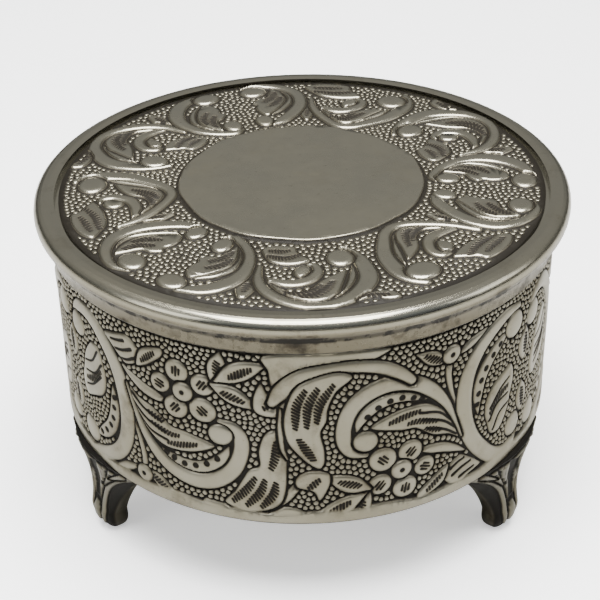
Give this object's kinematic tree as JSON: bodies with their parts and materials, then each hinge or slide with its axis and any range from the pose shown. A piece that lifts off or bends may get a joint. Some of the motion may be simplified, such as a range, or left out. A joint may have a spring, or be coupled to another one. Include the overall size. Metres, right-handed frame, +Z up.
{
  "type": "trinket box",
  "caption": "Round footed trinket box with a hinged lid, scroll and flower relief on drum and lid, a moulded rim, a plain medallion and a velvet lining.",
  "frame": {"origin": "on the drum's axis, in the plane of the feet's soles", "axes": "+Z up along the drum's axis, -Y to the front, +Y to the hinge, +X to the right seen from the front"},
  "size_m": [0.0968, 0.0968, 0.0614],
  "materials": {
    "chased_silver": "antiqued silver plate, bright on the relief and dark in the recesses",
    "lid_silver": "antiqued silver plate with a polished medallion",
    "rim_silver": "polished silver plate with light wear",
    "foot_silver": "cast, darkly antiqued silver plate",
    "inner_silver": "plain satin silver plate",
    "hinge_silver": "satin silver plate, tarnished round the knuckles",
    "screw_brass": "plain turned brass",
    "velvet": "cotton velvet with a short pile",
    "card": "grey card board"
  },
  "bodies": {
    "base": {"body_wall": "chased_silver", "base_plate": "inner_silver", "inner_sleeve": "inner_silver", "foot_front_left": "foot_silver", "foot_front_right": "foot_silver", "foot_back": "foot_silver", "foot_screws": "screw_brass", "floor_board": "card", "floor_pad": "velvet", "wall_lining": "velvet", "hinge_body_leaf": "hinge_silver", "hinge_body_rivets": "hinge_silver", "hinge_pin": "hinge_silver"},
    "lid": {"lid_plate": "lid_silver", "lid_rim": "rim_silver", "lid_board": "card", "lid_pad": "velvet", "hinge_lid_leaf": "hinge_silver", "hinge_lid_rivets": "hinge_silver"}
  },
  "joints": [
    {"name": "lid_hinge", "type": "hinge", "parent": "base", "child": "lid", "pos_m": [0, 0.04725, 0.054], "axis": [-1, 0, 0], "range_deg": [0, 100]}
  ]
}
